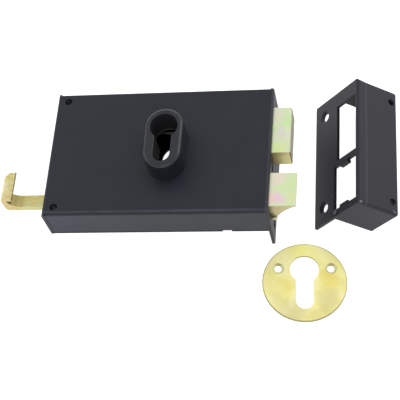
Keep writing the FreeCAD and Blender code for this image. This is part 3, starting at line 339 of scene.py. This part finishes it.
def fold_highlight_and_shade(tree, where, colour, cloud):
    """The case's low front fold: a pale painted highlight along the front, a dark painted shade below it.

    The underside is painted a little bluer and paler towards the hook, as reflected light.
    """
    across, up, out = own_places(tree, where, LOCK_FRAME)
    # Painted reflection: the faces down the door paler and bluer towards the hook.
    underside_reflection = maths(tree, "MULTIPLY", remap(tree, across, UNDERSIDE_REFLECTION_FADE, (0.8, 0.0)), facing(tree, DOWN, 0.6, 0.9))
    colour = blend(tree, underside_reflection, colour, linear(UNDERSIDE_REFLECTION_TINT))
    # Painted highlight and painted shade along the low front fold.
    front = remap(tree, out, (FOLD_FROM - 0.4, FOLD_FROM + 0.4))
    broken = remap(tree, cloud, (0.35, 0.6), (0.55, 1.0))
    along_fold = maths(tree, "MULTIPLY", front, broken)
    for height, half, share, code in FOLD_HIGHLIGHT_AND_SHADE:
        line = stripe(tree, up, height, half * 0.3, half, share)
        colour = blend(tree, maths(tree, "MULTIPLY", line, along_fold), colour, linear(code))
    return colour


# The front lip's painted shade at its edge, and painted highlight on the bend where it meets the front.
LIP_SHADE = "1c1c2a"
LIP_BEND_HIGHLIGHT = "3a3a42"


def lip_shade_and_highlight(tree, where, colour, _cloud):
    """Keeper's front lip: darker, bluer painted shade towards its edge and a painted highlight on its bend.
    """
    across, _, out = own_places(tree, where, KEEPER_FRAME)
    front = remap(tree, out, (KEEPER_DEPTH - 1.6, KEEPER_DEPTH - 0.8))
    # Painted shade towards the lip's edge.
    edge = maths(tree, "MULTIPLY", remap(tree, across, (0.0, LIP_WIDTH), (0.75, 0.0)), front)
    colour = blend(tree, edge, colour, linear(LIP_SHADE))
    # Painted highlight on the lip's bend.
    bend = stripe(tree, across, LIP_WIDTH, inner=0.35, outer=0.95, share=0.9)
    return blend(tree, maths(tree, "MULTIPLY", bend, front), colour, linear(LIP_BEND_HIGHLIGHT))


# The collar's outer wall keeps 12 mm from a straight run, so the bore is what lies nearer to that run
# than BORE_EDGE and no further out than the lip: the run's middle, half its length, and both limits.
COLLAR_MIDDLE = (CYLINDER_PLACE, 43.7)
COLLAR_HALF_RUN = (COLLAR_LENGTH - COLLAR_WIDTH) / 2
BORE_EDGE = (9.4, 9.8)
COLLAR_LIP = CASE_DEPTH + COLLAR_REACH - 0.5


def collar_lacquer(name, dark, light, sheen, bore):
    """Die cast ring under matt black lacquer: finer grain than the case and a softer gleam on its rim.

    The bore is painted shade from the lip inwards: near black, and rough and metallic to reflect little.
    """
    material, tree, where = new_material(name)
    grit = noise(tree, where, size=0.8, detail=2.0, roughness=0.6)
    colour = ramp(tree, noise(tree, where, size=9.0, detail=2.0), (0.3, dark), (0.7, light))
    across, up, out = own_places(tree, where, LOCK_FRAME)
    aside = maths(tree, "SUBTRACT", across, COLLAR_MIDDLE[0])
    along = maths(tree, "ABSOLUTE", maths(tree, "SUBTRACT", up, COLLAR_MIDDLE[1]))
    past = maths(tree, "MAXIMUM", maths(tree, "SUBTRACT", along, COLLAR_HALF_RUN), 0.0)
    flat = add(tree, "ShaderNodeCombineXYZ", {"X": aside, "Y": past})
    inside = remap(tree, vectors(tree, "LENGTH", flat, out="Value"), BORE_EDGE, (1.0, 0.0))
    deep = remap(tree, out, (COLLAR_LIP - 0.4, COLLAR_LIP), (1.0, 0.0))
    # Painted shade down the bore, from the lip inwards.
    bore_shade = maths(tree, "MULTIPLY", inside, deep)
    colour = blend(tree, bore_shade, colour, linear(bore))
    satin = remap(tree, grit, end=(sheen - 0.06, sheen + 0.08))
    rough = maths(tree, "ADD", satin, maths(tree, "MULTIPLY", bore_shade, 0.5))
    finish_surface(tree, colour, rough, grit, depth=0.04, strength=0.3, metallic=bore_shade, gloss=0.42)
    return material


# How metallic the chromate film looks.
ZINC_METAL = 0.75


def zinc(name, stops, patches, facing_shade, marks_and_shade, sheen, brushing, overlay=None):
    """Yellow chromate over zinc plated steel: a thin film whose colour drifts with its thickness.

    The drift is a slow noise through cream and green, with patches of rose, green and yellow where
    the film is thinner or thicker, and on the hook a painted highlight. The faces down the door or along
    the bolt are painted browner as shade, and small stains, painted shade and painted highlight lie over
    all. Faint grinding lines lie below the film, and the overlay adds what they do and the painted shade
    in the piece's own bends.
    """
    material, tree, where = new_material(name)
    film = noise(tree, where, size=10.0, detail=2.0, roughness=0.45)
    colour = patched(tree, where, ramp(tree, film, *stops), patches)
    lines = brushed(tree, where, brushing, size=0.6)
    if overlay:
        colour = overlay(tree, where, colour, lines)
    # Painted shade on the faces down the door and along the bolt.
    for direction, dark, light in facing_shade:
        shade = ramp(tree, film, (0.35, dark), (0.65, light))
        colour = blend(tree, facing(tree, direction, 0.45, 0.75), colour, shade)
    # Stains, with painted shade and painted highlight on the latch.
    colour = patched(tree, where, colour, marks_and_shade, wander=3.0)
    rough = remap(tree, lines, end=(sheen - 0.06, sheen + 0.08))
    finish_surface(tree, colour, rough, lines, depth=0.02, strength=0.35, metallic=ZINC_METAL)
    return material


# Where the finger tab's side towards the case lies, how far out its back is, and the bend's painted shade.
TAB_SIDE = -20.4
TAB_BACK = 23.6
BEND_SHADE = "62552a"


def hook_wear_and_bend_shade(tree, where, colour, lines):
    """The pull hook's film: grinding lines show along the bar, and the handled tab is mottled instead.

    It is painted darker in the bend beside the tab, as shade under the tab.
    """
    across, _, out = own_places(tree, where, LOCK_FRAME)
    ground = ramp(tree, lines, (0.35, "a99d58"), (0.5, "cabf7e"), (0.65, "ece4b2"))
    share = remap(tree, across, (TAB_SIDE, TAB_SIDE + 0.8), (0.12, 0.5))
    colour = blend(tree, share, colour, ground)
    dapple = noise(tree, where, size=2.4, detail=2.0)
    mottle = ramp(tree, dapple, (0.36, "bdb866"), (0.5, "d6ca8e"), (0.64, "ead9b8"))
    share = remap(tree, out, (TAB_BACK - 0.4, TAB_BACK + 0.2), (0.0, 0.5))
    colour = blend(tree, share, colour, mottle)
    # Painted shade in the bend beside the tab.
    bend = remap(tree, across, (TAB_SIDE - 1.2, TAB_SIDE + 2.8), (0.9, 0.0), eased=True)
    behind = remap(tree, out, (TAB_BACK - 0.8, TAB_BACK - 0.2), (1.0, 0.0))
    return blend(tree, maths(tree, "MULTIPLY", bend, behind), colour, linear(BEND_SHADE))


# How far grinding and rolling lines are drawn out along each axis.
ALONG_X = (14.0, 1.0, 1.0)
ALONG_Y = (1.0, 14.0, 1.0)

# The chromate film of the bolts and of the hook, and where it is thinner or thicker.
FILM = [(0.30, "dfe6c4"), (0.45, "d6e6b8"), (0.55, "dfe2c6"), (0.68, "d3e4b4"), (0.80, "e4e2cd")]
GOLD_FILM = [(0.28, "d2c688"), (0.5, "c9bc74"), (0.7, "d8cd94")]
DEAD_PATCHES = spots(on_lock, [
    ((150.1, 66.0, BOLT_FRONT), 1.0, 9.0, 0.70, "cbe9a8"),
    ((142.1, 59.5, BOLT_FRONT), 0.5, 4.0, 0.60, "c3eb9c"),
    ((145.8, 57.0, BOLT_FRONT), 1.5, 7.0, 0.60, "ded2d6"),
    ((142.6, 70.5, BOLT_FRONT), 1.0, 6.0, 0.60, "ead9cf"),
    ((145.6, 47.0, BOLT_FRONT), 1.5, 6.5, 0.50, "d6e88e"),
    ((152.0, 60.0, BOLT_FRONT), 0.5, 3.0, 0.60, "efe6d6"),
])
LATCH_PATCHES = spots(on_lock, [
    ((154.6, 21.0, BOLT_FRONT), 1.0, 8.0, 0.65, "d0e8a4"),
    ((148.6, 19.5, BOLT_FRONT), 1.0, 6.0, 0.60, "cfeaa6"),
    ((155.6, 11.5, BOLT_FRONT), 1.0, 7.0, 0.60, "d8ea9c"),
    ((145.6, 25.5, BOLT_FRONT), 1.5, 7.5, 0.75, "ecdccb"),
    ((143.1, 11.3, BOLT_FRONT), 1.5, 7.5, 0.80, "f4d0cc"),
    ((147.0, 11.0, BOLT_FRONT), 1.0, 4.8, 0.65, "f0c6e4"),
])
# A painted highlight on the finger tab's left side.
HOOK_TAB_HIGHLIGHT = spots(on_lock, [
    ((-28.0, 20.0, 25.0), 2.5, 7.5, 0.60, "f1ebd2"),
])

# Painted shade on faces down the door or along the bolt: the direction they face, and its two colours.
BOLT_FACING_SHADE = [(DOWN, "b9aa75", "d2c88a"), (AHEAD, "9f9472", "ab9f7c")]
LATCH_FACING_SHADE = [(DOWN, "c6c2a4", "d2ceb2"), (AHEAD, "b9b193", "c8c2a4")]
HOOK_FACING_SHADE = [(DOWN, "d2bd7e", "ccc38c"), (AHEAD, "a08f62", "ac9b6c")]

# Tan stains on the latch's underside, with dark painted shade at the bevel's root and by the forend
# and a near white painted highlight on its heel, and the film's drift under the bar.
LATCH_STAINS_SHADE_AND_HIGHLIGHT = spots(on_lock, [
    ((143.5, LATCH_LOW, 14.5), 0.8, 3.6, 0.55, "d9c49c"),
    ((146.0, LATCH_LOW, 17.5), 0.6, 2.6, 0.45, "c4ae84"),
    # Painted shade at the bevel's root and beside the forend.
    ((142.2, LATCH_LOW, 8.4), 1.0, 3.0, 0.75, "7a6038"),
    ((140.9, LATCH_LOW, 11.0), 0.5, 2.4, 0.70, "4a3e2a"),
    ((141.5, LATCH_LOW, 7.6), 0.5, 1.5, 0.90, "241c12"),
    ((143.3, LATCH_LOW, 8.3), 0.3, 1.1, 0.85, "33281a"),
    # Painted highlight on the heel.
    ((142.6, LATCH_LOW, 4.2), 0.9, 1.7, 0.95, "fffdf0"),
])
HOOK_MARKS = spots(on_lock, [
    ((-21.8, BAR_LOW, 15.0), 0.8, 3.4, 0.65, "dcb070"),
    ((-13.0, BAR_LOW, 14.0), 2.0, 5.5, 0.60, "cfd6a4"),
    ((-4.0, BAR_LOW, 14.0), 2.0, 5.5, 0.60, "c9d3a0"),
])

case_enamel = enamel("case_enamel", "1b1f27", "21252f", sheen=0.46, overlay=fold_highlight_and_shade)
# The back plate's enamel is made darker than the case's: painted shade along its edge under the case.
back_plate_shade_enamel = enamel("back_plate_shade_enamel", "101114", "15161a", sheen=0.55, gloss=0.12)
keeper_enamel = enamel("keeper_enamel", "21212a", "28282f", sheen=0.50, overlay=lip_shade_and_highlight)
# Pale grey enamel on the weld beads: thin paint over the weld, and painted highlight at the keeper's
# corners.
weld_enamel_and_highlight = enamel("weld_enamel_and_highlight", "5a5a60", "7c7c82", sheen=0.35, gloss=0.5)
collar_black = collar_lacquer("collar_lacquer", "191b21", "20222a", sheen=0.30, bore="343538")
dead_zinc = zinc("dead_bolt_chromate", FILM, DEAD_PATCHES, BOLT_FACING_SHADE, marks_and_shade=[],
                 sheen=0.34, brushing=ALONG_X)
latch_zinc = zinc("latch_chromate", FILM, LATCH_PATCHES, LATCH_FACING_SHADE, LATCH_STAINS_SHADE_AND_HIGHLIGHT,
                  sheen=0.34, brushing=ALONG_Y)
hook_zinc = zinc("hook_chromate", GOLD_FILM, HOOK_TAB_HIGHLIGHT, HOOK_FACING_SHADE, HOOK_MARKS,
                 sheen=0.36, brushing=ALONG_X, overlay=hook_wear_and_bend_shade)

# Patches over the escutcheon: paler ones towards its top, darker yellow ones towards its bottom.
DISC_PATCHES = spots(on_disc, [
    ((14.5, 2.0, DISC_SHEET), 2.0, 9.0, 0.70, "eedb72"),
    ((-1.5, 21.0, DISC_SHEET), 2.0, 11.0, 0.90, "fffb9a"),
    ((-14.5, 16.0, DISC_SHEET), 2.0, 13.0, 0.90, "fffab8"),
    ((13.0, 18.5, DISC_SHEET), 2.0, 11.0, 0.90, "fffab0"),
    ((-21.0, 10.5, DISC_SHEET), 1.0, 5.0, 0.60, "fff0b4"),
    ((21.0, 10.0, DISC_SHEET), 1.0, 6.0, 0.60, "f0f07e"),
    ((-6.0, -20.0, DISC_SHEET), 2.0, 13.0, 0.75, "dad194"),
    ((14.0, -11.0, DISC_SHEET), 2.0, 12.0, 0.70, "dcd49c"),
    ((-16.0, -6.0, DISC_SHEET), 2.0, 9.0, 0.60, "f2ea9c"),
    ((-18.0, -10.5, DISC_SHEET), 1.0, 6.5, 0.60, "e8dd98"),
    ((-13.5, -14.5, DISC_SHEET), 1.0, 6.5, 0.50, "e0d888"),
    ((12.5, -18.0, DISC_SHEET), 1.0, 8.5, 0.80, "ddd48a"),
    ((24.0, -1.5, DISC_SHEET), 1.0, 7.0, 0.60, "e6dd98"),
    ((5.5, -22.5, DISC_SHEET), 1.0, 6.5, 0.65, "dfd68c"),
    ((-15.5, -19.0, DISC_SHEET), 1.0, 5.0, 0.50, "e2da90"),
])
DISC_HOLES = [(-16.2, 9.2, DISC_SHEET), (16.2, 9.2, DISC_SHEET)]

# How metallic the lacquered face looks, the painted shade of its rim and its cut walls, and the painted
# light and shade of its countersinks.
BRASS_METAL = 0.55
RIM_SHADE = "b3ab74"
WALL_SHADE = "a3955c"
SINK_LIT = "f4f2b4"
SINK_SHADED = "84703f"


def brass_sheet(name):
    """Rolled brass, lacquered: pale yellow, with paler patches towards the top and darker below.

    The cut walls are dull, and they and the rim are painted darker as shade. The countersinks, cut
    through the lacquer, are painted lit, and shaded where they face down the door.
    """
    material, tree, where = new_material(name)
    smudge = noise(tree, where, size=15.0, detail=3.0, roughness=0.55)
    plain = ramp(tree, smudge, (0.32, "fdf7c2"), (0.5, "faf2a6"), (0.66, "f3e78b"))
    colour = patched(tree, where, plain, DISC_PATCHES)
    middle = tuple(on_disc((0, 0, DISC_SHEET / 2)))
    away = vectors(tree, "DISTANCE", where, middle, out="Value")
    # Painted shade on the rim.
    rim = remap(tree, away, ((DISC_RADIUS - 0.8) * MM, (DISC_RADIUS - 0.3) * MM))
    colour = blend(tree, rim, colour, linear(RIM_SHADE))
    # Painted light and shade in the countersinks.
    sink_light_and_shade = blend(tree, facing(tree, DOWN, 0.35, 0.6), linear(SINK_LIT), linear(SINK_SHADED))
    level = facing(tree, UP, 0.2, 0.5)
    metal = maths(tree, "MULTIPLY", level, BRASS_METAL)
    for hole in DISC_HOLES:
        away = vectors(tree, "DISTANCE", where, tuple(on_disc(hole)), out="Value")
        sink = remap(tree, away, ((SINK_RADIUS - 0.3) * MM, (SINK_RADIUS + 0.1) * MM), (0.8, 0.0))
        colour = blend(tree, sink, colour, sink_light_and_shade)
        metal = maths(tree, "SUBTRACT", metal, sink, use_clamp=True)
    # Painted shade on the cut walls.
    colour = blend(tree, level, linear(WALL_SHADE), colour)
    rolled = brushed(tree, where, ALONG_Y, size=0.7)
    rough = remap(tree, smudge, end=(0.40, 0.52))
    finish_surface(tree, colour, rough, rolled, depth=0.015, strength=0.3, metallic=metal)
    return material


def bare_steel(name, dark, light, sheen, brushing):
    """Mild steel inside the case: dull, with rolling or turning lines."""
    material, tree, where = new_material(name)
    lines = brushed(tree, where, brushing, size=0.5)
    colour = ramp(tree, lines, (0.3, dark), (0.7, light))
    rough = remap(tree, lines, end=(sheen - 0.08, sheen + 0.1))
    finish_surface(tree, colour, rough, lines, depth=0.02, strength=0.3, metallic=0.95)
    return material


# Dark steel for the bolt tails, lever and stop, made darker as painted shade inside the case.
shaded_plate_steel = bare_steel("oiled_sheet_steel_shaded", "2c2a22", "3b382d", sheen=0.45, brushing=ALONG_X)
turned_steel = bare_steel("turned_steel", "83858a", "a9abb0", sheen=0.32, brushing=ALONG_Y)
spring_steel = bare_steel("spring_steel", "5c5f66", "85888f", sheen=0.28, brushing=ALONG_X)
brass = brass_sheet("rolled_brass")

FINISHES = [
    (case_enamel, ["case_shell"]),
    (back_plate_shade_enamel, ["back_plate"]),
    (keeper_enamel, ["keeper_shell"]),
    (collar_black, ["cylinder_collar"]),
    (dead_zinc, ["dead_bolt_head"]),
    (latch_zinc, ["latch_head"]),
    (hook_zinc, ["pull_hook"]),
    (brass, ["escutcheon"]),
    (shaded_plate_steel, ["dead_bolt_tail", "latch_tail", "latch_lever", "spring_stop"]),
    (turned_steel, ["fixing_tubes", "cover_posts", "cover_screws", "collar_screws", "dead_bolt_guide_post",
                    "latch_guide_post", "detent_spring_post", "lever_pivot_stud", "lever_washer",
                    "spring_guide_rod", "latch_drive_pin", "dead_bolt_rivets", "latch_head_rivets",
                    "pull_hook_rivets"]),
    (spring_steel, ["detent_spring", "latch_spring"]),
]
for material, names in FINISHES:
    for name in names:
        slots = nodes[name].data.materials
        slots.clear()
        slots.append(material)


def surface(name, points, material, closed=False, capped=False):
    """A smooth mesh through rows of points.

    Closed joins each row's last point to its first, and capped shuts the first and the last row.
    """
    rows, columns = points.shape[:2]
    across = np.arange(columns if closed else columns - 1)
    row, column = np.meshgrid(np.arange(rows - 1), across, indexing="ij")
    here = row * columns
    beside = (column + 1) % columns
    corners = [here + column, here + beside, here + columns + beside, here + columns + column]
    faces = np.stack(corners, -1).reshape(-1, 4).tolist()
    if capped:
        faces.append(list(range(columns))[::-1])
        faces.append(list(range((rows - 1) * columns, rows * columns)))
    mesh = bpy.data.meshes.new(name)
    mesh.from_pydata(points.reshape(-1, 3).tolist(), [], faces)
    mesh.shade_smooth()
    mesh.materials.append(material)
    piece = bpy.data.objects.new(name, mesh)
    scene.collection.objects.link(piece)
    return piece


# The latch spring: its middle line's y and z, the x of its ends, the radii of its coil and its wire.
SPRING_MIDDLE = (24.6, 14.25)
SPRING_ENDS = (89.35, 117.85)
SPRING_LENGTH = SPRING_ENDS[1] - SPRING_ENDS[0]
SPRING_MEAN = 3.05
SPRING_WIRE = 0.45
SPRING_TURNS = 11
TURN_STEPS = 32
WIRE_SIDES = 12


def wound_spring():
    """Coil of round wire: a helix about the guide rod with a circle carried along it.

    The helix is (x0 + climb a, r cos a, r sin a), and the circle lies across its direction.
    """
    angle = np.linspace(0, 2 * np.pi * SPRING_TURNS, TURN_STEPS * SPRING_TURNS + 1)
    climb = SPRING_LENGTH / angle[-1]
    zero = np.zeros_like(angle)
    centre = np.stack([SPRING_ENDS[0] + climb * angle, SPRING_MIDDLE[0] + SPRING_MEAN * np.cos(angle),
                       SPRING_MIDDLE[1] + SPRING_MEAN * np.sin(angle)], -1)
    way = np.stack([zero + climb, -SPRING_MEAN * np.sin(angle), SPRING_MEAN * np.cos(angle)], -1)
    way /= np.linalg.norm(way, axis=1, keepdims=True)
    out = np.stack([zero, np.cos(angle), np.sin(angle)], -1)
    side = np.cross(way, out)
    around = np.linspace(0, 2 * np.pi, WIRE_SIDES, endpoint=False)[None, :, None]
    points = centre[:, None] + SPRING_WIRE * (np.cos(around) * out[:, None] + np.sin(around) * side[:, None])
    return surface("latch_spring_coil", on_lock(points), spring_steel, closed=True, capped=True)


spring = wound_spring()
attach(spring, "lock_case")
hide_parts("latch_spring")
lock_x = on_lock((1.0, 0, 0)) - on_lock((0, 0, 0))

tuple(on_lock((SPRING_ENDS[0], *SPRING_MIDDLE)))
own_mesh(spring)

# Weld beads at the keeper's low corners: name, middle, the directions of its length and its height,
# and half its length, half its width and its height, all in the keeper's own frame.
BEADS = [
    ("flange_weld_bead", (0.1, 3.2, 2.7), (0.0, 0.8, 0.6), (-1.0, 0.0, 0.0), (1.8, 1.1, 0.8)),
    ("lip_weld_bead", (2.1, 1.2, KEEPER_DEPTH), (0.94, 0.34, 0.0), (0.0, 0.0, 1.0), (1.3, 0.8, 0.5)),
    ("far_weld_bead", (27.4, 2.0, 25.7), (0.77, -0.64, 0.0), (0.0, 0.0, 1.0), (1.5, 0.6, 0.6)),
]
BEAD_RINGS = 9
BEAD_SIDES = 24
BEAD_FOOT = np.radians(-25)
BEAD_CROWN = np.radians(84)


def weld_bead(name, middle, along, out, size):
    """Low enamelled bead: half an ellipsoid, sunk a little into the sheet.

    Its points are m + l cos e cos a along, w cos e sin a across and h sin e out of the sheet.
    """
    half_length, half_width, height = size
    across = np.cross(out, along)
    up = np.linspace(BEAD_FOOT, BEAD_CROWN, BEAD_RINGS)[:, None, None]
    around = np.linspace(0, 2 * np.pi, BEAD_SIDES, endpoint=False)[None, :, None]
    points = (np.array(middle) + half_length * np.cos(up) * np.cos(around) * np.array(along)
              + half_width * np.cos(up) * np.sin(around) * across + height * np.sin(up) * np.array(out))
    bead = surface(name, on_keeper(points), weld_enamel_and_highlight, closed=True, capped=True)
    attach(bead, "keeper")


for bead in BEADS:
    weld_bead(*bead)


# The strength and tint of the light from all sides, and the table's own colour.
AMBIENT = 0.60
SKY = "f4f6fa"
CARD = "dfdfdf"
WHITE = (1.0, 1.0, 1.0, 1.0)
BLACK = (0.0, 0.0, 0.0, 1.0)

# How brightly the table glows, in a reflection and straight from the camera.
TABLE_GLOW = 0.78
TABLE_WHITE = 0.95

# The table lies a hair below the lock, and reaches 3 m to each side.
TABLE_DROP = 0.05 * MM
TABLE_HALF = 3.0


def seen_directly(tree):
    """1 for rays that should find the plain white surroundings: from the camera, a mirror or glass."""
    path = add(tree, "ShaderNodeLightPath", out=None).outputs
    first = maths(tree, "MAXIMUM", path["Is Camera Ray"], path["Is Glossy Ray"])
    return maths(tree, "MAXIMUM", first, path["Is Transmission Ray"])


def set_sky():
    """White studio: even light from all sides."""
    world = bpy.data.worlds.new("studio")
    scene.world = world
    tree = blank_tree(world)
    soft = add(tree, "ShaderNodeBackground", {"Color": linear(SKY), "Strength": AMBIENT})
    white = add(tree, "ShaderNodeBackground", {"Color": WHITE, "Strength": 1.0})
    both = add(tree, "ShaderNodeMixShader", {0: seen_directly(tree), 1: soft, 2: white})
    add(tree, "ShaderNodeOutputWorld", {"Surface": both}, out=None)


def set_table():
    """A pale table that keeps a faint shadow."""
    material = bpy.data.materials.new("white_card")
    tree = blank_tree(material)
    card = add(tree, "ShaderNodeBsdfDiffuse", {"Color": linear(CARD)})
    seen = add(tree, "ShaderNodeLightPath", out="Is Camera Ray")
    level = remap(tree, seen, end=(TABLE_GLOW, TABLE_WHITE))
    glow = add(tree, "ShaderNodeEmission", {"Color": WHITE, "Strength": level})
    unlit = add(tree, "ShaderNodeEmission", {"Color": BLACK, "Strength": 0.0})
    shine = add(tree, "ShaderNodeMixShader", {0: seen_directly(tree), 1: unlit, 2: glow})
    both = add(tree, "ShaderNodeAddShader", {0: card, 1: shine})
    add(tree, "ShaderNodeOutputMaterial", {"Surface": both}, out=None)
    corners = np.array([[(1, -1, 0), (-1, -1, 0)], [(1, 1, 0), (-1, 1, 0)]]) * TABLE_HALF
    table = surface("table", corners - (0, 0, TABLE_DROP), material)


# Each lamp: name, place in metres, size in metres, watts.
LAMPS = [
    ("back_softbox", (0.66, 0.60, 0.80), 0.7, 3.6),
    ("low_front_softbox", (0.10, -1.00, 0.55), 0.7, 1.8),
    ("side_softbox", (-1.0, 0.30, 0.60), 0.6, 1.0),
]


def set_lamps():
    """Softboxes high behind, low in front and on the left, all aimed at the lock."""
    for name, place, size, watts in LAMPS:
        data = bpy.data.lights.new(name, "AREA")
        data.size = size
        data.energy = watts
        back = np.array(place) / np.linalg.norm(place)
        right, up = square_axes(back, (0.0, 1.0, 0.0))
        stand(name, data, right, up, back, place)


set_sky()
set_table()
set_lamps()
